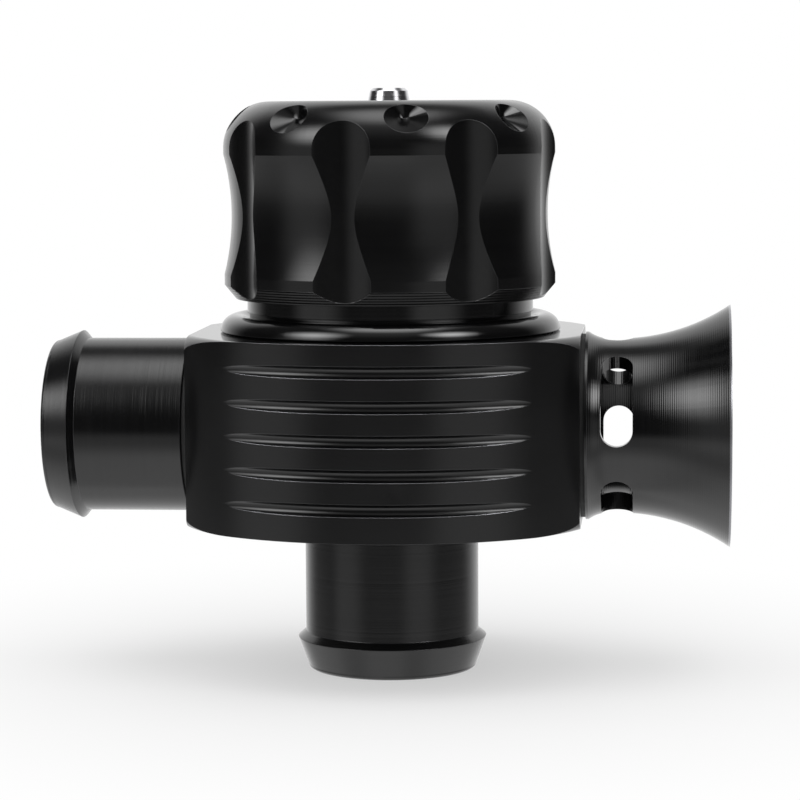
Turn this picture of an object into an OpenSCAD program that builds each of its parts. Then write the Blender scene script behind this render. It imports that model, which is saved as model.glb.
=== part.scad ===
// Blow off valve for a charge pipe: a milled body with a hose barb below, a recirculation barb
// on one side, a slotted trumpet on the other, and a screw cap that sets the spring's preload.
// The valve's axis is Z. The end of the inlet barb lies at z = 0, the trumpet points along +X.

/* [Body] */
// Width across the two flat port faces
body_w = 55.2; // [52:0.2:62]
// Depth over the rounded front and back faces
body_d = 56; // [52:0.2:62]
// Height of the body
body_h = 27.05; // [26.6:0.05:34]
// Height of the side ports' axis above the body's middle, negative below it
port_h = -0.2; // [-0.5:0.05:0.5]
// Plan radius of the rounded front and back faces
face_r = 35.5; // [33:0.5:60]
// Radius to which the body's corners are turned
corner_r = 31.35; // [30:0.05:32]
// Rounding of the turned corners at the top
top_round = 2.1; // [0.5:0.1:3]
// Rounding of the turned corners at the base
base_round = 1.6; // [0.5:0.1:3]
// Thickness of the chamber's floor
floor_t = 3.5; // [2.6:0.1:3.6]

/* [Finger grooves] */
// Number of crescent grooves on each rounded face
groove_count = 5; // [1:1:5]
// Height of the middle groove above the body's middle
groove_h = 0.375; // [-0.3:0.025:1]
// Height from one groove to the next
groove_pitch = 4.68; // [3:0.02:5]
// Depth of a groove at mid-width
groove_depth = 0.87; // [0.3:0.01:1.2]
// Radius of the cutter that makes a groove
groove_cutter_r = 0.86; // [0.6:0.02:1.4]
// Distance from mid-width to where a groove runs out
groove_reach = 21.2; // [14:0.1:23]

/* [Ports] */
// Diameter of the air passages
passage_d = 19; // [16:0.2:19.4]
// Diameter of the bore in the barbs
bore_d = 20; // [19.4:0.2:21]
// Thread diameter of the barbs' spigots
spigot_d = 24; // [23:0.1:24.4]
// Length of the side spigots inside the body
spigot_len = 7.5; // [4:0.1:9]
// Depth of the relief between a spigot's thread and its shoulder
relief_depth = 0.9; // [0.5:0.05:0.95]
// Length of that relief inside the body
relief_len = 1; // [0.5:0.1:1.5]
// Height of the inlet spigot's rim above the chamber floor, where the piston seats
seat_rise = 0.6; // [0.3:0.1:1]
// Thickness of the rubber ring under each barb
barb_seal_t = 1; // [0.4:0.1:1.6]
// Thickness of the rubber ring under the trumpet
trumpet_seal_t = 0.5; // [0.4:0.1:1.6]
// How far a rubber ring stays inside the rim of what it seals
seal_inset = 0.3; // [0.1:0.05:0.4]

/* [Hose barbs] */
// Outer diameter of a barb's tube, the hose's bore
tube_d = 25; // [24.8:0.1:28]
// Height of the bead above the tube
bead_rise = 1.1; // [0.5:0.1:2]
// Length of the bead's back slope
bead_back = 0.9; // [0.5:0.1:2]
// Length of the lead-in cone in front of the inlet barb's bead
inlet_lead_in = 4.55; // [3:0.05:6]
// Length of the lead-in cone in front of the recirculation barb's bead
recirc_lead_in = 4; // [3:0.05:6]
// Diameter at the front of the lead-in cone
mouth_d = 24.4; // [23.4:0.1:24.6]
// Rounding at the front of the lead-in cone
mouth_round = 0.6; // [0.2:0.1:0.8]
// Distance from the body's base to the end of the inlet barb
inlet_reach = 21.8; // [16:0.05:30]
// Distance from the body's port face to the end of the recirculation barb
recirc_reach = 21.25; // [16:0.05:30]

/* [Trumpet] */
// Distance from the body's port face to the trumpet's rim
trumpet_reach = 20.95; // [18:0.05:30]
// Diameter of the trumpet's neck
trumpet_neck_d = 24.95; // [24.2:0.05:26]
// Diameter of the collar that meets the body
trumpet_collar_d = 26.9; // [26.2:0.1:29]
// Width of the collar's shoulder, from its rim in to the spigot's thread
trumpet_shoulder = 1.45; // [1.2:0.05:1.8]
// Wall between the relief of the trumpet's spigot and its bore
trumpet_wall = 1.1; // [0.8:0.05:1.3]
// Length of the straight part of that collar
trumpet_collar_len = 0.4; // [0.2:0.1:1.5]
// Radius of the fillet from the collar to the neck
trumpet_fillet_r = 5; // [3:0.1:6]
// Distance from the port face to where the flare starts
flare_start = 5.1; // [5:0.1:8]
// Diameter of the trumpet's rim
rim_d = 34.6; // [30:0.1:42]
// Thickness of the rim's edge
rim_t = 0.7; // [0.5:0.1:1.5]
// Number of air slots round the neck
slot_count = 4; // [2:1:4]
// Width of an air slot along the trumpet
slot_w = 4.5; // [2:0.1:4.8]
// Angle that one air slot spans, ends included
slot_span = 65; // [40:1:75]
// Distance from the port face to the middle of the slots
slot_place = 5; // [4.4:0.1:7]
// Angle of the first slot above the front
slot_turn = 24.5; // [0:0.5:90]

/* [Neck collar] */
// Diameter of the flange on the body's top
flange_d = 48.8; // [46:0.2:52]
// Height of the flange
flange_h = 2.5; // [2:0.1:4]
// Radius of the bead that rounds the flange's rim
flange_round = 2.4; // [1:0.1:2.4]
// How far the flange dips between that bead and the neck
flange_dip = 0.6; // [0.1:0.05:0.8]
// Diameter of the neck that carries the cap's thread
neck_d = 41; // [39.8:0.1:41.4]
// Depth of the thread relief at the neck's foot
neck_relief = 0.3; // [0.1:0.05:0.6]
// Height of the neck above the flange
neck_h = 14.1; // [10:0.1:15]
// Thread diameter of the collar's lower end
collar_thread_d = 37; // [34:0.1:38]
// Length of the collar's lower end inside the body
collar_thread_len = 2.9; // [2:0.1:3]

/* [Cap] */
// Gap between the flange and the cap at rest
cap_gap = 2.3; // [1.9:0.1:4]
// Height of the cap
cap_h = 27.95; // [26:0.05:34]
// Diameter of the cap
cap_d = 47.4; // [46:0.1:54]
// Rounding of the cap's upper edge
cap_round = 6.6; // [2:0.1:8]
// Width of the bevel round the cap's lower edge
cap_bevel = 1.6; // [0.5:0.05:2]
// Height of that bevel
cap_bevel_h = 1.95; // [0.5:0.05:3]
// Height of the plain band above the bevel
cap_band = 1.5; // [0.5:0.05:4]
// Height of the hollow waist
waist_h = 17.05; // [10:0.05:17.5]
// Depth of the hollow waist
waist_depth = 1.1; // [0.3:0.05:1.3]
// Number of finger flutes round the cap
flute_count = 8; // [4:1:10]
// Radius of the cutter that makes a flute
flute_r = 9.6; // [4:0.1:12]
// Depth of a flute below the cap's rim
flute_depth = 1.3; // [0.5:0.05:1.5]
// Angle of the first flute from the front
flute_turn = -11; // [-45:0.5:45]
// Depth of the drilled dimples between the flutes
dimple_depth = 1.85; // [0.5:0.05:2.2]
// Point angle of the drill that makes the dimples
dimple_point = 118; // [90:1:120]
// Where a dimple lies on the upper rounding, from its foot to its crown
dimple_place = 50; // [20:1:60]
// Tilt of the drill above the horizontal
dimple_tilt = 31; // [0:1:60]
// Diameter of the well round the vacuum nipple
well_d = 18.4; // [16:0.1:24]
// Depth of the well
well_depth = 9; // [5:0.1:9.5]
// Thickness of the cap's floor under the well
cap_floor_t = 3.5; // [2.5:0.1:4]

/* [Vacuum nipple] */
// Height of the nipple's tip above the cap's top
nipple_proud = 1.8; // [1:0.1:8]
// Outer diameter of the nipple's barbs
nipple_barb_d = 6.4; // [5:0.1:8]
// Outer diameter of the nipple's stem
nipple_stem_d = 4.8; // [4:0.1:4.9]
// Diameter at the tip
nipple_tip_d = 5.4; // [4:0.1:5.8]
// Length of one barb
nipple_barb_len = 2.6; // [1.5:0.1:3]
// Diameter of the air hole
nipple_hole_d = 2.4; // [1:0.1:3]
// Width across the flats of the hexagon
nipple_hex_w = 8; // [7:0.1:12]
// Height of the hexagon
nipple_hex_h = 2.6; // [1.5:0.1:2.8]
// Diameter of the nipple's thread
nipple_thread_d = 6; // [5:0.1:6]
// Thickness of the sealing washer
washer_t = 0.8; // [0.4:0.1:1]
// Diameter of the sealing washer
washer_d = 9; // [8:0.1:14]

/* [Piston and spring] */
// Diameter of the piston
piston_d = 30; // [28:0.1:31]
// Thickness of the piston's wall
piston_wall = 2.6; // [2.2:0.1:3]
// Thickness of the piston's face
piston_face_t = 3; // [2.4:0.1:4]
// Lift of the piston when the valve is fully open
piston_lift = 10; // [6:0.1:10.5]
// Distance from the neck's top down to the piston's top when the valve is fully open
lift_room = 0.95; // [0.3:0.05:2]
// Section of the rubber rings round the piston
piston_ring_t = 1.4; // [1:0.1:1.6]
// Distance from the piston's top to the upper ring
piston_ring_drop = 2.5; // [2:0.1:4]
// Distance between the two rings
piston_ring_pitch = 4; // [3:0.1:5]
// Thickness of the rubber disc in the piston's face
disc_t = 1.2; // [0.8:0.1:1.4]
// How far the disc stands out of the piston's face
disc_proud = 0.2; // [0.1:0.05:0.4]
// Wire diameter of the spring
wire_d = 1.8; // [1.2:0.1:2.2]
// Outer diameter of the spring
spring_d = 20.8; // [18:0.1:22]
// Number of turns of the spring
spring_turns = 8; // [6:1:9]
// Thickness of the plate on top of the spring
plate_t = 1.5; // [1:0.1:2]
// Section of the rubber ring between the neck and the cap
cap_ring_t = 1.4; // [1:0.1:1.8]
// Section of the rubber ring under the flange
flange_ring_t = 1; // [0.6:0.1:1.4]

/* [Clearances] */
// Radial play of a screwed joint
thread_gap = 0.05; // [0.02:0.01:0.1]
// Radial play between the neck and the cap
cap_play = 0.1; // [0.05:0.01:0.2]
// Radial play of the piston in the collar
piston_play = 0.05; // [0.03:0.01:0.1]
// Radial room round the piston in the chamber
chamber_room = 0.3; // [0.2:0.05:0.6]
// Play at faces that meet and part, or turn on one another
rest_gap = 0.05; // [0.02:0.01:0.1]
// Play between a rubber ring and its groove
ring_gap = 0.02; // [0.01:0.01:0.05]
// Play between the spring and the boss that centres it
spring_play = 0.2; // [0.1:0.05:0.4]

/* [Hidden] */
$fn = 96;
// Overlap of a cut beyond the face that it opens
cut = 1;

base_z = inlet_reach;
mid_z = base_z + body_h / 2;
port_z = mid_z + port_h;
top_z = base_z + body_h;
floor_z = base_z + floor_t;
seat_z = floor_z + seat_rise;
port_x = body_w / 2;

passage_r = passage_d / 2;
bore_r = bore_d / 2;
spigot_r = spigot_d / 2;
relief_r = spigot_r - relief_depth;
// The trumpet's spigot and bore follow its collar
trumpet_spigot_r = trumpet_collar_d / 2 - trumpet_shoulder;
trumpet_relief_r = trumpet_spigot_r - relief_depth;
trumpet_bore_r = trumpet_relief_r - trumpet_wall;
chamber_r = piston_d / 2 + chamber_room;
collar_thread_r = collar_thread_d / 2;

// The rounded faces are arcs whose centres lie on the far side of the axis
face_shift = face_r - body_d / 2;
// A groove's cutter follows a flatter arc, so that it leaves the face at both ends
groove_start = body_d / 2 - groove_depth + groove_cutter_r;
groove_end_angle = asin(groove_reach / face_r);
groove_end_x = (face_r + groove_cutter_r) * sin(groove_end_angle);
groove_end_y = (face_r + groove_cutter_r) * cos(groove_end_angle) - face_shift;
groove_fall = groove_start - groove_end_y;
groove_path_r = (pow(groove_end_x, 2) + pow(groove_fall, 2)) / (2 * groove_fall);
groove_mid_z = mid_z + groove_h;

tube_r = tube_d / 2;
neck_r = neck_d / 2;
flange_top_z = top_z + flange_h;
neck_top_z = flange_top_z + neck_h;
cap_ring_z = neck_top_z - 2 * cap_ring_t;
flange_ring_r = (flange_d / 2 - flange_round + collar_thread_r) / 2;

cap_r = cap_d / 2;
cap_z = flange_top_z + cap_gap;
cap_top_z = cap_z + cap_h;
cap_bore_r = neck_r + cap_play;
well_floor_z = cap_top_z - well_depth;
ceiling_z = well_floor_z - cap_floor_t;
waist_z = cap_z + cap_bevel_h + cap_band + waist_h / 2;
waist_r = (pow(waist_h / 2, 2) + pow(waist_depth, 2)) / (2 * waist_depth);
cap_round_r = cap_r - cap_round;
cap_round_z = cap_top_z - cap_round;

disc_z = seat_z + rest_gap;
piston_z = disc_z + disc_proud;
piston_r = piston_d / 2;
piston_floor_z = piston_z + piston_face_t;
piston_top_z = neck_top_z - lift_room - piston_lift;
piston_h = piston_top_z - piston_z;
cup_r = piston_r - piston_wall;
// The disc in the piston's face covers the rim of the inlet spigot on both sides
disc_outer_r = spigot_r + disc_t;
disc_inner_r = bore_r - disc_t;
piston_ring_z = [for (i = [0:1]) piston_top_z - piston_ring_drop - i * piston_ring_pitch];

plate_z = ceiling_z - rest_gap - plate_t;
spring_z = piston_floor_z + rest_gap;
spring_h = plate_z - rest_gap - spring_z;
spring_mean_r = (spring_d - wire_d) / 2;
closed_pitch = 1.08 * wire_d;
open_pitch = (spring_h - wire_d - 2 * closed_pitch) / (spring_turns - 2);

BLACK = [0.06, 0.06, 0.065];
RUBBER = [0.03, 0.03, 0.03];
STEEL = [0.78, 0.78, 0.8];
ALLOY = [0.55, 0.56, 0.58];

// A ring of round section, lying level round the axis. Its section starts on the inner side
module rubber_ring(middle_r, section_r, z) {
    translate([0, 0, z])
        rotate_extrude()
            translate([middle_r, 0])
                rotate(180)
                    circle(section_r);
}

// A flat ring, lying level round the axis
module flat_ring(outer_r, inner_r, height) {
    difference() {
        cylinder(h = height, r = outer_r);
        translate([0, 0, -cut])
            cylinder(h = height + 2 * cut, r = inner_r);
    }
}

// Turns a piece made along +Z from the base of a port so that it points along +X or -X
module at_side_port(side) {
    translate([side * port_x, 0, port_z])
        rotate([0, side * 90, 0])
            children();
}

// The body's plan: two large arcs, cut off by the flat port faces
module body_plan() {
    intersection() {
        translate([0, face_shift])
            circle(face_r);
        translate([0, -face_shift])
            circle(face_r);
        square([body_w, 2 * body_d], center = true);
    }
}

// The round bar, with rounded ends, that the body's corners are turned to
module turned_bar() {
    top_round_r = corner_r - top_round;
    base_round_r = corner_r - base_round;
    rotate_extrude()
        union() {
            polygon([
                [0, 0],
                [base_round_r, 0],
                [base_round_r, base_round],
                [corner_r, base_round],
                [corner_r, body_h - top_round],
                [top_round_r, body_h - top_round],
                [top_round_r, body_h],
                [0, body_h]
            ]);
            translate([base_round_r, base_round])
                circle(base_round);
            translate([top_round_r, body_h - top_round])
                circle(top_round);
        }
}

// One ring-shaped cut for each groove of one rounded face
module finger_grooves() {
    for (i = [0:groove_count - 1]) {
        z = groove_mid_z + (i - (groove_count - 1) / 2) * groove_pitch;
        translate([0, groove_path_r - groove_start, 0])
            rubber_ring(groove_path_r, groove_cutter_r, z);
    }
}

// A passage into the chamber, with the thread of the spigot that closes it
module side_port(side, thread_r) {
    at_side_port(side) {
        translate([0, 0, -spigot_len - rest_gap])
            cylinder(h = spigot_len + cut, r = thread_r + thread_gap);
        translate([0, 0, chamber_r / 2 - port_x])
            cylinder(h = port_x, r = passage_r);
    }
}

module valve_body() {
    color(BLACK)
        difference() {
            translate([0, 0, base_z])
                intersection() {
                    linear_extrude(body_h)
                        body_plan();
                    turned_bar();
                }
            finger_grooves();
            mirror([0, 1, 0])
                finger_grooves();
            // Piston chamber and the thread of the neck collar
            translate([0, 0, floor_z])
                cylinder(h = body_h, r = chamber_r);
            translate([0, 0, top_z - collar_thread_len - rest_gap])
                cylinder(h = body_h, r = collar_thread_r + thread_gap);
            // Thread of the inlet barb through the floor
            translate([0, 0, base_z - cut])
                cylinder(h = body_h / 2, r = spigot_r + thread_gap);
            // Side passages, and the threads of the barb and the trumpet
            side_port(-1, spigot_r);
            side_port(1, trumpet_spigot_r);
        }
}

// Profile of a barb's outside, from its shoulder on the rubber ring to its mouth
module barb_profile(reach, lead_in) {
    bead_r = tube_r + bead_rise;
    mouth_r = mouth_d / 2;
    bead_place = reach - lead_in;
    tube_end = bead_place - bead_back;
    edge_break = 0.2;
    union() {
        polygon([
            [0, barb_seal_t],
            [tube_r - edge_break, barb_seal_t],
            [tube_r, barb_seal_t + edge_break],
            [tube_r, tube_end],
            [bead_r, bead_place],
            [mouth_r, reach - mouth_round],
            [mouth_r - mouth_round, reach - mouth_round],
            [mouth_r - mouth_round, reach],
            [0, reach]
        ]);
        translate([mouth_r - mouth_round, reach - mouth_round])
            circle(mouth_round);
    }
}

// A spigot below zero with a relief under its shoulder, which lies at the given height above zero
module spigot(length, shoulder, thread_r) {
    translate([0, 0, -length])
        cylinder(h = length - relief_len, r = thread_r);
    translate([0, 0, -length])
        cylinder(h = length + shoulder, r = thread_r - relief_depth);
}

// A turned hose barb along +Z, its shoulder on the rubber ring, its spigot below zero
module hose_barb(reach, lead_in, spigot_length) {
    difference() {
        union() {
            rotate_extrude()
                intersection() {
                    barb_profile(reach, lead_in);
                    square([tube_r + bead_rise, reach]);
                }
            spigot(spigot_length, barb_seal_t + cut, spigot_r);
        }
        translate([0, 0, -spigot_length - cut])
            cylinder(h = spigot_length + reach + 2 * cut, r = bore_r);
    }
}

// The inlet barb screws in from below, and its rim inside is the piston's seat
module inlet_barb() {
    color(BLACK)
        translate([0, 0, base_z])
            mirror([0, 0, 1])
                hose_barb(inlet_reach, inlet_lead_in, floor_t + seat_rise);
}

module inlet_seal() {
    color(RUBBER)
        translate([0, 0, base_z - barb_seal_t])
            flat_ring(tube_r - seal_inset, relief_r + ring_gap, barb_seal_t);
}

module recirc_barb() {
    color(BLACK)
        at_side_port(-1)
            hose_barb(recirc_reach, recirc_lead_in, spigot_len);
}

module recirc_seal() {
    color(RUBBER)
        at_side_port(-1)
            flat_ring(tube_r - seal_inset, relief_r + ring_gap, barb_seal_t);
}

// Profile of the trumpet's wall: collar, fillet, neck and flare outside, bore and bell inside
module trumpet_profile() {
    rim_r = rim_d / 2;
    trumpet_neck_r = trumpet_neck_d / 2;
    collar_r = trumpet_collar_d / 2;
    flare_len = trumpet_reach - flare_start;
    flare_rise = rim_r - trumpet_neck_r;
    flare_r = (pow(flare_len, 2) + pow(flare_rise, 2)) / (2 * flare_rise);
    bell_rise = rim_r - rim_t - trumpet_bore_r;
    bell_r = (pow(flare_len, 2) + pow(bell_rise, 2)) / (2 * bell_rise);
    collar_rise = collar_r - trumpet_neck_r;
    fillet_len = sqrt(pow(trumpet_fillet_r, 2) - pow(trumpet_fillet_r - collar_rise, 2));
    fillet_end = trumpet_seal_t + trumpet_collar_len + fillet_len;
    difference() {
        union() {
            // Neck
            translate([0, trumpet_seal_t])
                square([trumpet_neck_r, trumpet_reach - trumpet_seal_t]);
            // Collar and its fillet
            difference() {
                translate([0, trumpet_seal_t])
                    square([collar_r, fillet_end - trumpet_seal_t]);
                translate([trumpet_neck_r + trumpet_fillet_r, fillet_end])
                    circle(trumpet_fillet_r);
            }
            // Flare
            difference() {
                translate([0, flare_start])
                    square([rim_r, flare_len]);
                translate([trumpet_neck_r + flare_r, flare_start])
                    circle(flare_r);
            }
        }
        // Bore, and the bell that opens from it
        translate([0, trumpet_seal_t - cut])
            square([trumpet_bore_r, trumpet_reach + cut]);
        difference() {
            translate([0, flare_start])
                square([rim_r - rim_t, flare_len + cut]);
            translate([trumpet_bore_r + bell_r, flare_start])
                circle(bell_r);
        }
    }
}

// One air slot round the trumpet's neck: an arc between two round ends
module air_slot() {
    slot_r = trumpet_neck_d / 2;
    slot_depth = slot_r - trumpet_bore_r + 3 * cut;
    end_angle = asin(slot_w / 2 / slot_r);
    arc = slot_span - 2 * end_angle;
    translate([0, 0, slot_place]) {
        rotate(-arc / 2)
            rotate_extrude(angle = arc)
                translate([trumpet_bore_r - cut, -slot_w / 2])
                    square([slot_depth, slot_w]);
        for (end = [-1, 1])
            rotate(end * arc / 2)
                translate([trumpet_bore_r - cut, 0, 0])
                    rotate([0, 90, 0])
                        cylinder(h = slot_depth, d = slot_w);
    }
}

module trumpet() {
    color(BLACK)
        at_side_port(1)
            difference() {
                union() {
                    rotate_extrude()
                        trumpet_profile();
                    difference() {
                        spigot(spigot_len, trumpet_seal_t + trumpet_collar_len, trumpet_spigot_r);
                        translate([0, 0, -spigot_len - cut])
                            cylinder(h = spigot_len + flare_start, r = trumpet_bore_r);
                    }
                }
                for (i = [0:slot_count - 1])
                    rotate(-90 - slot_turn - i * 360 / slot_count)
                        air_slot();
            }
}

module trumpet_seal() {
    color(RUBBER)
        at_side_port(1)
            flat_ring(trumpet_collar_d / 2 - seal_inset, trumpet_relief_r + ring_gap, trumpet_seal_t);
}

// Groove for a ring of round section round an upright cylinder
module outer_groove(face_radius, section, z) {
    translate([0, 0, z - section / 2 - ring_gap])
        flat_ring(face_radius + cut, face_radius - section + ring_gap, section + 2 * ring_gap);
}

// Profile of the collar above the body: a flange with a round bead, then the neck over its relief
module collar_profile() {
    flange_r = flange_d / 2;
    bead_z = flange_h - flange_round;
    foot_r = neck_r - neck_relief;
    foot_h = flange_h + neck_relief;
    edge_break = 0.25;
    intersection() {
        union() {
            square([flange_r - flange_round, flange_h - flange_dip]);
            square([flange_r, bead_z]);
            translate([flange_r - flange_round, bead_z])
                circle(flange_round);
        }
        polygon([
            [0, 0],
            [flange_r - edge_break, 0],
            [flange_r + flange_h, flange_h + edge_break],
            [0, flange_h + edge_break]
        ]);
    }
    polygon([
        [0, 0],
        [foot_r, 0],
        [foot_r, foot_h],
        [neck_r, foot_h],
        [neck_r, flange_h + neck_h],
        [0, flange_h + neck_h]
    ]);
}

// The collar screws into the body's top. It guides the piston and carries the cap's thread
module neck_collar() {
    color(BLACK)
        difference() {
            union() {
                translate([0, 0, top_z])
                    rotate_extrude()
                        collar_profile();
                translate([0, 0, top_z - collar_thread_len])
                    cylinder(h = collar_thread_len + flange_h, r = collar_thread_r);
            }
            translate([0, 0, floor_z])
                cylinder(h = neck_top_z, r = piston_r + piston_play);
            outer_groove(neck_r, cap_ring_t, cap_ring_z);
            translate([0, 0, top_z - cut])
                flat_ring(flange_ring_r + flange_ring_t / 2 + ring_gap,
                    flange_ring_r - flange_ring_t / 2 - ring_gap, cut + flange_ring_t);
        }
}

module collar_seal() {
    color(RUBBER)
        rubber_ring(flange_ring_r, flange_ring_t / 2 - ring_gap, top_z + flange_ring_t / 2);
}

module cap_ring() {
    ring_in = neck_r - cap_ring_t + 2 * ring_gap;
    ring_out = cap_bore_r - ring_gap;
    color(RUBBER)
        rubber_ring((ring_in + ring_out) / 2, min(ring_out - ring_in, cap_ring_t) / 2, cap_ring_z);
}

// Profile of the cap: bevel, band, hollow waist and rounded upper edge
module cap_profile() {
    difference() {
        union() {
            polygon([
                [0, cap_z],
                [cap_r - cap_bevel, cap_z],
                [cap_r, cap_z + cap_bevel_h],
                [cap_r, cap_round_z],
                [cap_round_r, cap_round_z],
                [cap_round_r, cap_top_z],
                [0, cap_top_z]
            ]);
            translate([cap_round_r, cap_round_z])
                circle(cap_round);
        }
        translate([cap_r - waist_depth + waist_r, waist_z])
            circle(waist_r);
        // Threaded cavity over the neck, the well round the nipple, and the nipple's thread
        translate([-cut, cap_z - cut])
            square([cap_bore_r + cut, ceiling_z - cap_z + cut]);
        translate([-cut, well_floor_z])
            square([well_d / 2 + cut, well_depth + cut]);
        translate([-cut, ceiling_z - cut])
            square([nipple_thread_d / 2 + thread_gap + cut, cap_floor_t + 2 * cut]);
    }
}

// One drilled dimple on the cap's upper rounding, seen from the front
module cap_dimple() {
    place_r = cap_round_r + cap_round * cos(dimple_place);
    place_z = cap_round_z + cap_round * sin(dimple_place);
    reach = 2 * dimple_depth + cut;
    translate([0, -place_r, place_z])
        rotate([90 - dimple_tilt, 0, 0])
            translate([0, 0, -dimple_depth])
                cylinder(h = reach, r1 = 0, r2 = reach * tan(dimple_point / 2));
}

module adjuster_cap() {
    flute_step = 360 / flute_count;
    color(BLACK)
        difference() {
            rotate_extrude()
                cap_profile();
            for (i = [0:flute_count - 1]) {
                rotate(flute_turn + i * flute_step)
                    translate([0, flute_depth - cap_r - flute_r, cap_z - cut])
                        cylinder(h = cap_h + 2 * cut, r = flute_r);
                rotate(flute_turn + (i + 0.5) * flute_step)
                    cap_dimple();
            }
        }
}

// A turned nipple with a hexagon and two barbs, screwed into the floor of the well
module vacuum_nipple() {
    hex_z = well_floor_z + washer_t;
    stem_z = hex_z + nipple_hex_h;
    tip_z = cap_top_z + nipple_proud;
    tip_round = 0.4;
    tip_r = nipple_tip_d / 2;
    barb_r = nipple_barb_d / 2;
    color(STEEL)
        difference() {
            union() {
                translate([0, 0, ceiling_z])
                    cylinder(h = stem_z - ceiling_z, d = nipple_thread_d);
                translate([0, 0, hex_z])
                    cylinder(h = nipple_hex_h, d = nipple_hex_w / cos(30), $fn = 6);
                translate([0, 0, hex_z])
                    cylinder(h = tip_z - tip_round - hex_z, d = nipple_stem_d);
                for (i = [0:1])
                    translate([0, 0, tip_z - tip_round - (i + 1) * nipple_barb_len])
                        cylinder(h = nipple_barb_len, r1 = barb_r, r2 = tip_r);
                translate([0, 0, tip_z - tip_round])
                    cylinder(h = tip_round, r1 = tip_r, r2 = tip_r - tip_round);
            }
            translate([0, 0, ceiling_z - cut])
                cylinder(h = tip_z - ceiling_z + 2 * cut, d = nipple_hole_d);
        }
}

module nipple_washer() {
    color("peru")
        translate([0, 0, well_floor_z])
            flat_ring(washer_d / 2, nipple_thread_d / 2 + thread_gap, washer_t);
}

// A cup that slides in the collar, open upwards for the spring
module piston() {
    edge_break = 0.6;
    color(ALLOY)
        difference() {
            union() {
                translate([0, 0, piston_z])
                    cylinder(h = edge_break, r1 = piston_r - edge_break, r2 = piston_r);
                translate([0, 0, piston_z + edge_break])
                    cylinder(h = piston_h - edge_break, r = piston_r);
            }
            translate([0, 0, piston_floor_z])
                cylinder(h = piston_h, r = cup_r);
            for (z = piston_ring_z)
                outer_groove(piston_r, piston_ring_t, z);
            translate([0, 0, piston_z - cut])
                flat_ring(disc_outer_r + ring_gap, disc_inner_r - ring_gap, cut + disc_t - disc_proud);
        }
}

module seat_disc() {
    color(RUBBER)
        translate([0, 0, disc_z])
            flat_ring(disc_outer_r, disc_inner_r, disc_t);
}

module piston_ring(z) {
    ring_in = piston_r - piston_ring_t + 2 * ring_gap;
    ring_out = piston_r + piston_play - ring_gap;
    color(RUBBER)
        rubber_ring((ring_in + ring_out) / 2, (ring_out - ring_in) / 2 - ring_gap, z);
}

module upper_piston_ring() {
    piston_ring(piston_ring_z[0]);
}

module lower_piston_ring() {
    piston_ring(piston_ring_z[1]);
}

// Height of the wire's centre at a turn of the spring: closed end turns, even pitch between them
function wire_z(turn) =
    turn < 1 ? turn * closed_pitch
    : turn > spring_turns - 1 ? spring_h - wire_d - (spring_turns - turn) * closed_pitch
    : closed_pitch + (turn - 1) * open_pitch;

// The spring's wire: rings of points along the helix, joined by quads and closed by end caps
module spring() {
    steps_per_turn = 20;
    sides = 8;
    steps = spring_turns * steps_per_turn;
    wire_r = wire_d / 2;
    points = [
        for (i = [0:steps], j = [0:sides - 1])
            let (
                turn = i / steps_per_turn,
                around = 360 * turn,
                side = 360 * j / sides,
                r = spring_mean_r + wire_r * cos(side)
            )
            [r * cos(around), r * sin(around), spring_z + wire_r + wire_z(turn) + wire_r * sin(side)]
    ];
    skin = [
        for (i = [0:steps - 1], j = [0:sides - 1])
            let (next = (j + 1) % sides, here = i * sides, there = (i + 1) * sides)
            [here + j, here + next, there + next, there + j]
    ];
    ends = [
        [for (j = [sides - 1:-1:0]) j],
        [for (j = [0:sides - 1]) steps * sides + j]
    ];
    color(STEEL)
        polyhedron(points, concat(skin, ends));
}

// The plate lets the cap turn on the spring, and its boss centres the spring
module spring_plate() {
    boss_r = spring_mean_r - wire_d / 2 - spring_play;
    plate_r = (spring_d / 2 + cup_r) / 2;
    color(STEEL)
        difference() {
            union() {
                translate([0, 0, plate_z])
                    cylinder(h = plate_t, r = plate_r);
                translate([0, 0, plate_z - plate_t])
                    cylinder(h = 2 * plate_t, r = boss_r);
            }
            translate([0, 0, plate_z - plate_t - cut])
                cylinder(h = 2 * plate_t + 2 * cut, d = nipple_thread_d);
        }
}

valve_body();
inlet_barb();
inlet_seal();
recirc_barb();
recirc_seal();
trumpet();
trumpet_seal();
neck_collar();
collar_seal();
cap_ring();
adjuster_cap();
vacuum_nipple();
nipple_washer();
piston();
upper_piston_ring();
lower_piston_ring();
seat_disc();
spring();
spring_plate();
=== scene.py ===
import math

import bpy
from mathutils import Matrix, Vector


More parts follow.
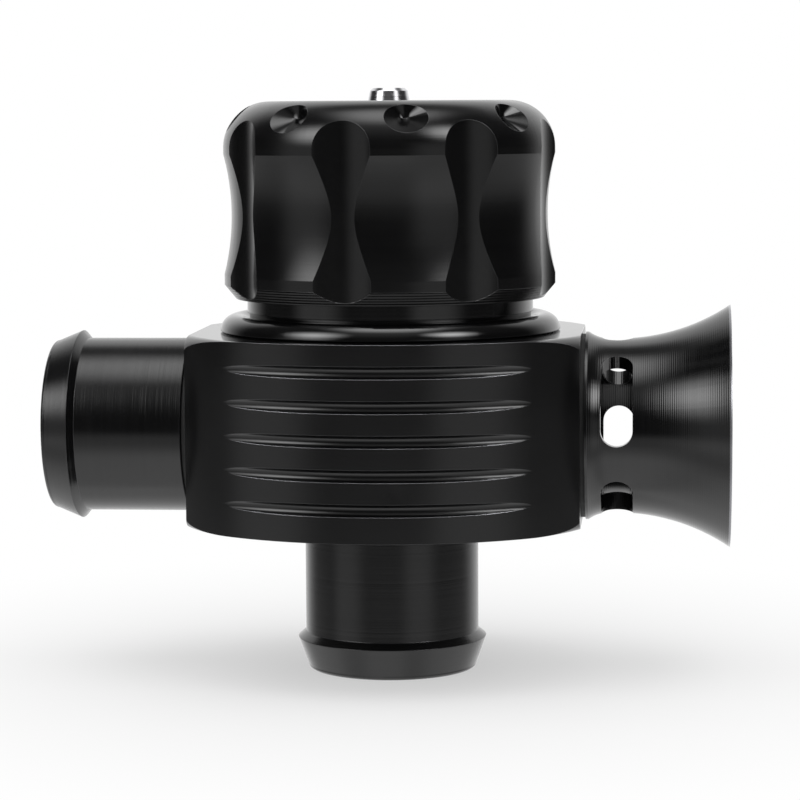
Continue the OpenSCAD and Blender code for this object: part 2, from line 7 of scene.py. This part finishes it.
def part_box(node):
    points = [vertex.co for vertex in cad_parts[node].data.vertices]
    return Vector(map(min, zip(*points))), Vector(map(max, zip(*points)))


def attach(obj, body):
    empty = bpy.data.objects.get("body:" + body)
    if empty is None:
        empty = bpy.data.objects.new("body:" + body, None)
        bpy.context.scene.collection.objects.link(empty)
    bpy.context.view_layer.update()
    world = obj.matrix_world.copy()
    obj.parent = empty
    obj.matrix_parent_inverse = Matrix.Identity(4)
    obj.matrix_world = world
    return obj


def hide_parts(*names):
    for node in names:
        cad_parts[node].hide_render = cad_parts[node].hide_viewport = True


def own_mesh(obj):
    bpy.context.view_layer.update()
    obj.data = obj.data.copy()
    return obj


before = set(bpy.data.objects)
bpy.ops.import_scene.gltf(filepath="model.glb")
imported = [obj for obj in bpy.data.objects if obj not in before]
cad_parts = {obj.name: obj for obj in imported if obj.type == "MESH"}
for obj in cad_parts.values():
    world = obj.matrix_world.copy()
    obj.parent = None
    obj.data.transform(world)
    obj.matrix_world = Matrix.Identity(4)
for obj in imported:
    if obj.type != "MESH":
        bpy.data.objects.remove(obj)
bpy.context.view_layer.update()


# Valve body: a block milled from aluminium bar, with crescent finger grooves across its rounded
# front and back and rounded corners. It is blasted lightly, its top is faced, then it is anodised
# black. A highlight is painted along its sharp edges as bare metal, brightest where they face up.
class Signal:
    """An output in a node tree. Operators on it add Math nodes, and node() adds any other node."""

    def __init__(self, tree, socket=None):
        self.tree = tree
        self.socket = socket

    def node(self, kind, settings=None, values=None, output=0):
        made = self.tree.nodes.new(kind)
        for name, value in (settings or {}).items():
            setattr(made, name, value)
        for name, value in (values or {}).items():
            if isinstance(value, Signal):
                self.tree.links.new(value.socket, made.inputs[name])
            else:
                made.inputs[name].default_value = value
        return Signal(self.tree, made.outputs[output] if made.outputs else None)

    def math(self, operation, *terms):
        return self.node("ShaderNodeMath", {"operation": operation}, dict(enumerate(terms)))

    def __add__(self, other):
        return self.math("ADD", self, other)

    def __sub__(self, other):
        return self.math("SUBTRACT", self, other)

    def __rsub__(self, other):
        return self.math("SUBTRACT", other, self)

    def __mul__(self, other):
        return self.math("MULTIPLY", self, other)

    def __truediv__(self, other):
        return self.math("DIVIDE", self, other)

    def __pow__(self, other):
        return self.math("POWER", self, other)

    def ramp(self, low, high, to_low=0.0, to_high=1.0):
        """This value, eased from one range to another and held at its ends."""
        return self.node(
            "ShaderNodeMapRange",
            {"interpolation_type": "SMOOTHSTEP"},
            {"Value": self, "From Min": low, "From Max": high, "To Min": to_low, "To Max": to_high},
        )

    def spread(self, low, high):
        """This noise, which lies mostly between 0.3 and 0.7, spread over another range."""
        return self.ramp(0.3, 0.7, low, high)


def new_material(name):
    """A material with a Principled shader, and a start for its node expressions."""
    material = bpy.data.materials.new(name)
    material.use_nodes = True
    return material, Signal(material.node_tree), material.node_tree.nodes["Principled BSDF"]


def feed(shader, signals):
    """Links signals to a shader's inputs, by name."""
    for name, signal in signals.items():
        signal.tree.links.new(signal.socket, shader.inputs[name])


def finish_with(material, *names):
    """Gives a material to CAD nodes that keep their shape."""
    for name in names:
        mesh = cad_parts[name].data
        mesh.materials.clear()
        mesh.materials.append(material)


def own_place(start):
    """Where a point lies in its own piece, which is the shared frame at rest."""
    return start.node("ShaderNodeTexCoord", output=3)


def parts_of(start, vector):
    """The three parts of a vector."""
    outputs = start.node("ShaderNodeSeparateXYZ", {}, {0: vector}).socket.node.outputs
    return [Signal(start.tree, socket) for socket in outputs]


def noise(place, scale, detail, dimensions="3D"):
    """Cloudy noise over a place, with the scale in clouds a metre."""
    return place.node(
        "ShaderNodeTexNoise",
        {"noise_dimensions": dimensions},
        {"Vector": place, "Scale": scale, "Detail": detail},
    )


def relief(height, depth, normal=None):
    """A bump of the given depth, on the surface's own normal or on another."""
    values = {"Strength": 1.0, "Distance": depth, "Height": height}
    if normal:
        values["Normal"] = normal
    return height.node("ShaderNodeBump", {}, values)


def grey(tone, blue=1.0):
    """A grey of the given tone, with its blue made stronger or weaker."""
    parts = {"Red": tone, "Green": tone, "Blue": tone * blue}
    return tone.node("ShaderNodeCombineColor", {}, parts)


def broken_edges(start, radius):
    """The surface's normal with its sharp edges rounded."""
    return start.node("ShaderNodeBevel", {"samples": 4}, {"Radius": radius})


def sharp_edge_mask(start, rounded):
    """One along sharp edges, where the rounded normal leaves the face's own, or else nought."""
    face = start.node("ShaderNodeNewGeometry", output=1)
    along = start.node(
        "ShaderNodeVectorMath", {"operation": "DOT_PRODUCT"}, {0: rounded, 1: face}, output=1
    )
    return along.ramp(0.94, 0.995, 1.0, 0.0)


anodised_blue = 1.06


def blasted_black(name, shade, roughness, faced_roughness, grain, edge, top):
    """Black anodised aluminium: blasted grain, a faced glossy top, edges with a painted highlight.
    """
    material, start, shader = new_material(name)
    place = own_place(start)
    faced = parts_of(start, place)[2].ramp(top - 0.0002, top - 0.0001)
    cloud = noise(place, 90.0, 3.0)
    pits = noise(place, 5200.0, 1.0)
    passes = start.node(
        "ShaderNodeVectorMath", {"operation": "MULTIPLY"}, {0: place, 1: (0.01, 0.01, 1.0)}
    )
    marks = noise(passes, 15000.0, 1.0)
    rounded = broken_edges(start, edge)
    # Painted highlight: sharp edges turn lighter and metallic, most where they face up to the lamp.
    lit_from_above = parts_of(start, rounded)[2].ramp(0.05, 0.3, 0.12, 0.7)
    wear_and_edge_highlight = sharp_edge_mask(start, rounded) * lit_from_above * cloud.spread(0.6, 1.0)
    tone = cloud.spread(shade * 0.85, shade * 1.15) + wear_and_edge_highlight * 0.6
    gloss = cloud.spread(-0.02, 0.02) + roughness - faced * (roughness - faced_roughness)
    feed(
        shader,
        {
            "Base Color": grey(tone, anodised_blue),
            "Metallic": wear_and_edge_highlight,
            "Roughness": gloss,
            "Normal": relief(pits + marks * 2.0, grain, rounded),
        },
    )
    return material


body_black = blasted_black(
    "milled_black",
    shade=0.004,
    roughness=0.2,
    faced_roughness=0.08,
    grain=1.5e-6,
    edge=0.0001,
    top=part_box("valve_body")[1][2],
)
finish_with(body_black, "valve_body")


# Hose barbs: turned aluminium tubes with a bead behind the lead-in cone, screwed into the body
# from below and from the left. Turning leaves fine rings under the black anodising.
barb_low, barb_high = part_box("recirc_barb")
port_height = (barb_low[2] + barb_high[2]) / 2


def turned_black(
    name, along, shade, roughness, coarse, fine, edge, pitch=0.0003, lines=0.0, cone=None, worn=1.0
):
    """Black anodised aluminium with the rings that a lathe leaves about one axis.

    The rings are coarse and fine, with the given depths. Even lines of the given pitch and depth
    go all over, or they are saw teeth on one cone, whose two levels and two radii are given. A
    faint highlight is painted along sharp edges as bare metal, and past the worn level the black is
    rubbed off.
    """
    material, start, shader = new_material(name)
    place = own_place(start)
    x, y, z = parts_of(start, place)
    if along == "X":
        across, level = (y * y + (z - port_height) ** 2) ** 0.5, x
    else:
        across, level = (x * x + y * y) ** 0.5, z
    rings = start.node("ShaderNodeCombineXYZ", {}, {"X": across, "Y": level})
    feed_marks = noise(rings, 2600.0, 2.0, "2D")
    polish = noise(rings, 15000.0, 1.0, "2D")
    cloud = noise(place, 110.0, 3.0)
    rounded = broken_edges(start, edge)
    even = start.math("SINE", level * (2 * math.pi / pitch))
    if cone:
        low, high, low_radius, high_radius = cone
        teeth = start.math("FRACT", level * (-1 / pitch)) + even * 0.22
        surface = (level - low) * ((high_radius - low_radius) / (high - low)) + low_radius
        below = level.ramp(high - 0.00005, high, 1.0, 0.0)
        even = teeth * below * (across - surface).ramp(-0.0001, -0.00005)
    height = feed_marks * coarse + polish * fine + even * lines
    wear_and_edge_highlight = level.ramp(worn - 0.0002, worn) * feed_marks.ramp(0.3, 0.6, 0.5, 1.0)
    # Painted highlight: a faint lighter, metallic line along every sharp edge.
    painted_edge_highlight = sharp_edge_mask(start, rounded) * cloud.spread(0.04, 0.12)
    wear_and_edge_highlight = start.math("MAXIMUM", wear_and_edge_highlight, painted_edge_highlight)
    tone = feed_marks.spread(shade * 0.8, shade * 1.2) + wear_and_edge_highlight * 0.5
    feed(
        shader,
        {
            "Base Color": grey(tone, anodised_blue),
            "Metallic": wear_and_edge_highlight,
            "Roughness": cloud.spread(-0.03, 0.03) + roughness,
            "Normal": relief(height, 1.0, rounded),
        },
    )
    return material


for barb, way, along in (("inlet_barb", "upright", "Z"), ("recirc_barb", "level", "X")):
    barb_black = turned_black(
        "turned_black_" + way,
        along,
        shade=0.004,
        roughness=0.17,
        coarse=4e-6,
        fine=1.1e-5,
        edge=0.00015,
    )
    finish_with(barb_black, barb)


# Trumpet: a turned outlet whose bell flares to a thin rim, with four air slots milled round its
# neck. It is anodised black like the barbs, its turning rings show more, and its rim is bare.
trumpet_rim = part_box("trumpet")[1][0]
rim_wear = 0.0002
trumpet_black = turned_black(
    "trumpet_black",
    "X",
    shade=0.004,
    roughness=0.12,
    coarse=4e-6,
    fine=4e-6,
    edge=0.0001,
    lines=4e-6,
    worn=trumpet_rim - rim_wear,
)
finish_with(trumpet_black, "trumpet")


# Rubber rings: flat rings under the barbs and the trumpet, round rings in the grooves of the
# collar and of the piston, and the disc in the piston's face. All are moulded black rubber.
def moulded_rubber(name):
    """Matte black rubber with a dusty bloom."""
    material, start, shader = new_material(name)
    bloom = noise(own_place(start), 900.0, 4.0)
    feed(
        shader,
        {
            "Base Color": grey(bloom.ramp(0.3, 0.75, 0.008, 0.02)),
            "Roughness": bloom.spread(0.55, 0.72),
            "Normal": relief(bloom, 8e-6),
        },
    )
    return material


finish_with(
    moulded_rubber("moulded_rubber"),
    "inlet_seal",
    "recirc_seal",
    "trumpet_seal",
    "collar_seal",
    "cap_ring",
    "upper_piston_ring",
    "lower_piston_ring",
    "seat_disc",
)


# Neck collar: a turned ring screwed into the body's top. Its flange is polished, and its neck
# carries the thread of the cap.
polished_ior = 1.6
collar_black = turned_black(
    "collar_black", "Z", shade=0.003, roughness=0.1, coarse=3e-6, fine=4e-6, edge=0.00015
)
collar_black.node_tree.nodes["Principled BSDF"].inputs["IOR"].default_value = polished_ior
finish_with(collar_black, "neck_collar")


# Adjuster cap: a turned and polished knob with a hollow waist, upright finger flutes and drilled
# dimples, which are smoother than the rest. Screwing it down presses the spring.
cap_low, cap_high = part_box("adjuster_cap")
cap_foot, cap_radius, cap_top = cap_low[2], cap_high[0], cap_high[2]
bevel_height, bevel_width = 0.00195, 0.0016
cap_rounding = 0.0066
dimple_count = 8
dimple_depth = 0.00185
dimple_polish = 0.13
dimple_slope = math.tan(math.radians(118 / 2))
dimple_place, dimple_tilt, dimple_turn = (math.radians(a) for a in (50, 31, 11.5))
dimple_radius = cap_radius + cap_rounding * (math.cos(dimple_place) - 1)
dimple_level = cap_top + cap_rounding * (math.sin(dimple_place) - 1)


def drilled_points(start):
    """One in the drilled dimples, which are cones about tilted axes, and nought elsewhere."""
    x, y, z = parts_of(start, own_place(start))
    half_step = math.pi / dimple_count
    turn = start.math("ARCTAN2", x, 0 - y) - dimple_turn
    turn = start.math("WRAP", turn, half_step, -half_step)
    across = (x * x + y * y) ** 0.5
    aside = across * start.math("SINE", turn)
    out = across * start.math("COSINE", turn) - dimple_radius
    rise = z - dimple_level
    height = out * math.cos(dimple_tilt) + rise * math.sin(dimple_tilt) + dimple_depth
    sideways = rise * math.cos(dimple_tilt) - out * math.sin(dimple_tilt)
    off = (aside * aside + sideways * sideways) ** 0.5
    return (off - height * dimple_slope).ramp(0.00005, 0.00015, 1.0, 0.0)


cap_black = turned_black(
    "cap_black",
    "Z",
    shade=0.003,
    roughness=0.19,
    coarse=2e-6,
    fine=3e-6,
    edge=0.0001,
    pitch=0.00038,
    lines=0.00015,
    cone=(cap_foot, cap_foot + bevel_height, cap_radius - bevel_width, cap_radius),
)
cap_shader = cap_black.node_tree.nodes["Principled BSDF"]
turned_skin = Signal(cap_black.node_tree, cap_shader.inputs["Roughness"].links[0].from_socket)
feed(cap_shader, {"Roughness": turned_skin - drilled_points(turned_skin) * dimple_polish})
finish_with(cap_black, "adjuster_cap")


# Bright fittings: the turned steel nipple for the vacuum hose and its copper washer in the well,
# and inside the valve the spring's plate and the turned piston. They are screwed or laid in place.
def bright_metal(name, colour, roughness, depth):
    """Bare or plated metal with fine turning rings round the valve's axis."""
    material, start, shader = new_material(name)
    x, y, z = parts_of(start, own_place(start))
    rings = start.node("ShaderNodeCombineXYZ", {}, {"X": (x * x + y * y) ** 0.5, "Y": z})
    marks = noise(rings, 4500.0, 2.0, "2D")
    dull = [c * 0.86 for c in colour] + [1]
    clear = [min(c * 1.08, 1) for c in colour] + [1]
    tint = start.node(
        "ShaderNodeMix", {"data_type": "RGBA"}, {0: marks, 6: dull, 7: clear}, output=2
    )
    shader.inputs["Metallic"].default_value = 1.0
    feed(
        shader,
        {
            "Base Color": tint,
            "Roughness": marks.spread(roughness * 0.8, roughness * 1.25),
            "Normal": relief(marks, depth),
        },
    )
    return material


nipple_steel = bright_metal("nipple_steel", (0.72, 0.72, 0.74), roughness=0.16, depth=3e-6)
washer_copper = bright_metal("washer_copper", (0.72, 0.36, 0.2), roughness=0.32, depth=3e-6)
spring_steel = bright_metal("spring_steel", (0.5, 0.5, 0.52), roughness=0.28, depth=3e-6)
piston_alloy = bright_metal("piston_alloy", (0.62, 0.63, 0.65), roughness=0.3, depth=4e-6)
finish_with(nipple_steel, "vacuum_nipple")
finish_with(washer_copper, "nipple_washer")
finish_with(spring_steel, "spring_plate")
finish_with(piston_alloy, "piston")


# Spring: drawn steel wire, wound in eight turns with closed ends. It stands in the piston's cup,
# presses on the plate under the cap, and shortens as the piston lifts.
spring_low, spring_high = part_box("spring")
spring_height = spring_high[2] - spring_low[2]
wire_thickness = 0.0018


def wound_wire(points_a_turn=48, sides=16, closed_pitch=1.08):
    """Geometry Nodes that wind a round wire about Z, evenly between two closed end turns."""
    tree = bpy.data.node_groups.new("wound_wire", "GeometryNodeTree")
    for name in ("Wire", "Radius", "Turns", "Bottom", "Height"):
        tree.interface.new_socket(name, in_out="INPUT", socket_type="NodeSocketFloat")
    tree.interface.new_socket("Finish", in_out="INPUT", socket_type="NodeSocketMaterial")
    tree.interface.new_socket("Geometry", in_out="OUTPUT", socket_type="NodeSocketGeometry")
    start = Signal(tree)
    sizes = tree.nodes.new("NodeGroupInput").outputs
    wire, radius, turns, bottom, height, finish = (Signal(tree, sizes[i]) for i in range(6))
    line = start.node("GeometryNodeCurvePrimitiveLine")
    count = turns * points_a_turn
    path = start.node("GeometryNodeResampleCurve", {}, {"Curve": line, "Count": count})
    turn = start.node("GeometryNodeSplineParameter") * turns
    closed = wire * closed_pitch
    pitch = (height - wire - closed * 2) / (turns - 2)
    open_turns = start.math("MINIMUM", start.math("MAXIMUM", turn - 1, 0.0), turns - 2)
    climb = start.math("MINIMUM", turn, 1.0) * closed + open_turns * pitch
    climb = climb + start.math("MAXIMUM", turn - turns + 1, 0.0) * closed
    angle = turn * (2 * math.pi)
    place = start.node(
        "ShaderNodeCombineXYZ",
        {},
        {
            "X": start.math("COSINE", angle) * radius,
            "Y": start.math("SINE", angle) * radius,
            "Z": bottom + wire * 0.5 + climb,
        },
    )
    helix = start.node("GeometryNodeSetPosition", {}, {"Geometry": path, "Position": place})
    section = start.node(
        "GeometryNodeCurvePrimitiveCircle", {}, {"Resolution": sides, "Radius": wire * 0.5}
    )
    tube = start.node(
        "GeometryNodeCurveToMesh", {}, {"Curve": helix, "Profile Curve": section, "Fill Caps": True}
    )
    smooth = start.node("GeometryNodeSetShadeSmooth", {}, {0: tube})
    whole = start.node("GeometryNodeRealizeInstances", {}, {"Geometry": smooth})
    dressed = start.node("GeometryNodeSetMaterial", {}, {"Geometry": whole, "Material": finish})
    tree.links.new(dressed.socket, tree.nodes.new("NodeGroupOutput").inputs["Geometry"])
    return tree


spring_wire = bpy.data.objects.new("spring_wire", bpy.data.meshes.new("spring_wire"))
bpy.context.scene.collection.objects.link(spring_wire)
winding = spring_wire.modifiers.new("winding", "NODES")
winding.node_group = wound_wire()
spring_sizes = {
    "Wire": wire_thickness,
    "Radius": spring_high[0] - wire_thickness / 2,
    "Turns": 8.0,
    "Bottom": spring_low[2],
    "Height": spring_height,
    "Finish": spring_steel,
}
for item in winding.node_group.interface.items_tree:
    if item.in_out == "INPUT":
        winding[item.identifier] = spring_sizes[item.name]
wound = spring_wire.evaluated_get(bpy.context.evaluated_depsgraph_get())
spring_mesh = bpy.data.meshes.new_from_object(wound)
spring_wire.modifiers.clear()
spring_wire.data = spring_mesh
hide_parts("spring")
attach(spring_wire, "spring_pack")
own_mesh(spring_wire)


# Studio: white paper under a soft overhead lamp. What the black metal mirrors is painted in the
# world by direction: a dark room in front with a lamp and its stand at each side, the table below
# and a white wall behind. The paper takes the shadow, lightened by a painted white glow, and
# mirrored rays pass through it.
scene = bpy.context.scene
scene.view_settings.view_transform = "Standard"
white = (1, 1, 1, 1)
paper_grey = (0.86, 0.86, 0.86, 1)
paper_half = 9
object_middle = Vector((0, 0, 0.04))


def seen_rays(start):
    """Whether a ray comes from the camera, and whether it shows the background at all."""
    rays = start.node("ShaderNodeLightPath").socket.node.outputs
    from_camera, mirrored, through = (
        Signal(start.tree, rays["Is " + name + " Ray"])
        for name in ("Camera", "Glossy", "Transmission")
    )
    return from_camera, start.math("MINIMUM", from_camera + mirrored + through, 1.0)


def floor_paper():
    """Paper that glows white when seen: half at the object, lightening its shadow, fully further
    out.
    """
    material = bpy.data.materials.new("floor_paper")
    material.use_nodes = True
    material.node_tree.nodes.clear()
    start = Signal(material.node_tree)
    x, y = parts_of(start, own_place(start))[:2]
    paper = start.node("ShaderNodeBsdfDiffuse", {}, {"Color": paper_grey})
    plain = start.node("ShaderNodeEmission", {}, {"Color": white, "Strength": 1.0})
    far = ((x * x + y * y) ** 0.5).ramp(0.0, 0.11, 0.5, 1.0) * seen_rays(start)[1]
    both = start.node("ShaderNodeMixShader", {}, {0: far, 1: paper, 2: plain})
    start.node("ShaderNodeOutputMaterial", {}, {"Surface": both})
    return material


corners = [(-paper_half, -paper_half, 0), (paper_half, -paper_half, 0)]
corners += [(paper_half, paper_half, 0), (-paper_half, paper_half, 0)]
sheet = bpy.data.meshes.new("floor")
sheet.from_pydata(corners, [], [(0, 1, 2, 3)])
sheet.materials.append(floor_paper())
floor = bpy.data.objects.new("floor", sheet)
scene.collection.objects.link(floor)
floor.visible_glossy = False


def aim(azimuth, elevation):
    """The direction at an azimuth, counted from the front, and an elevation, both in degrees."""
    a, e = math.radians(azimuth), math.radians(elevation)
    return Vector((math.sin(a) * math.cos(e), -math.cos(a) * math.cos(e), math.sin(e)))


def soft_box(name, azimuth, elevation, distance, width, height, radiance):
    """A soft lamp that lights the object's middle and isn't mirrored."""
    lamp = bpy.data.lights.new(name, "AREA")
    lamp.shape = "RECTANGLE"
    lamp.size, lamp.size_y = width, height
    lamp.energy = radiance * math.pi * width * height
    made = bpy.data.objects.new(name, lamp)
    scene.collection.objects.link(made)
    away = aim(azimuth, elevation)
    made.location = object_middle + away * distance
    made.rotation_mode = "QUATERNION"
    made.rotation_quaternion = (-away).to_track_quat("-Z", "Y")
    made.visible_camera = False
    made.visible_glossy = False


soft_box("top_box", azimuth=0, elevation=84, distance=0.4, width=0.6, height=0.28, radiance=2.0)

world = bpy.data.worlds.new("room")
scene.world = world
world.use_nodes = True
world.node_tree.nodes.clear()
room = Signal(world.node_tree)
x, y, z = parts_of(room, room.node("ShaderNodeTexCoord", output=0))
rise = room.math("ARCSINE", z)
turn = room.math("ARCTAN2", x, 0 - y)


def over_degrees(angle, low, high, to_low=0.0, to_high=1.0):
    """The ramp of an angle whose range is given in degrees."""
    return angle.ramp(math.radians(low), math.radians(high), to_low, to_high)


def stand(begin, full, fade, end):
    """How far a direction lies within a lamp's stand, by the azimuths of its soft edges."""
    return over_degrees(turn, begin, full) * over_degrees(turn, fade, end, 1.0, 0.0)


def lobe(azimuth, elevation, core, reach, radiance):
    """The soft round glow of a lamp, which fades from its core to its reach."""
    middle = aim(azimuth, elevation)
    facing = x * middle.x + y * middle.y + z * middle.z
    off = room.math("ARCCOSINE", room.math("MINIMUM", facing, 1.0))
    return over_degrees(off, core, reach, radiance, 0.0)


camera_ray, seen = seen_rays(room)
ahead = over_degrees(room.math("ABSOLUTE", turn), 110, 152, 1.0, 0.0)
overhead = room.math("ABSOLUTE", x).ramp(0.2, 0.5, 1.0, 0.15)
above = over_degrees(rise, 12, 80, 0.03, 0.6) * overhead
stands = stand(-84, -64, -50, -26) + stand(14, 32, 48, 72)
table = over_degrees(rise, -14, -3, 0.5, 0.03) + over_degrees(rise, -42, -17, 0.75, 0.0)
table = table * (1 - stands * over_degrees(rise, -30, -15, 0.2, 0.0))
stands = stands * over_degrees(rise, 4, 22, 0.4, 0.0) * over_degrees(rise, -30, -15)
behind = 1 - over_degrees(rise, 38, 55, 0.0, 0.8)
top_lamp = lobe(azimuth=0, elevation=86, core=6, reach=32, radiance=2.8)
left_lamp = lobe(azimuth=-52, elevation=31, core=0, reach=27, radiance=6.3)
right_lamp = lobe(azimuth=52, elevation=36, core=0, reach=22, radiance=8.0)
wall_light = ahead * (above + table + stands) + (1 - ahead) * behind
wall_light = wall_light + top_lamp * overhead + left_lamp + right_lamp
wall_light = wall_light + (1 - wall_light) * camera_ray
air = room.node("ShaderNodeBackground", {}, {"Color": white, "Strength": 0.5})
wall = room.node("ShaderNodeBackground", {}, {"Color": white, "Strength": wall_light})
both = room.node("ShaderNodeMixShader", {}, {0: seen, 1: air, 2: wall})
room.node("ShaderNodeOutputWorld", {}, {"Surface": both})

camera_azimuth, camera_elevation, camera_roll = 5.24, 5.72, -0.37
camera_distance = 0.4184
focal_pixels, picture_pixels = 2904, 800
target = Vector((0.00131, 0, 0.03869))
back = aim(camera_azimuth, camera_elevation)
swing, roll = math.radians(camera_azimuth), math.radians(camera_roll)
level = Vector((math.cos(swing), math.sin(swing), 0))
upright = back.cross(level)
right = math.cos(roll) * level + math.sin(roll) * upright
up = math.cos(roll) * upright - math.sin(roll) * level
place = target + camera_distance * back
lens = bpy.data.cameras.new("long_lens")
lens.sensor_width = 36
lens.lens = focal_pixels / picture_pixels * lens.sensor_width
lens.clip_start, lens.clip_end = 0.01, 40
camera = bpy.data.objects.new("camera", lens)
scene.collection.objects.link(camera)
camera.matrix_world = Matrix(
    (
        (right.x, up.x, back.x, place.x),
        (right.y, up.y, back.y, place.y),
        (right.z, up.z, back.z, place.z),
        (0, 0, 0, 1),
    )
)
scene.camera = camera
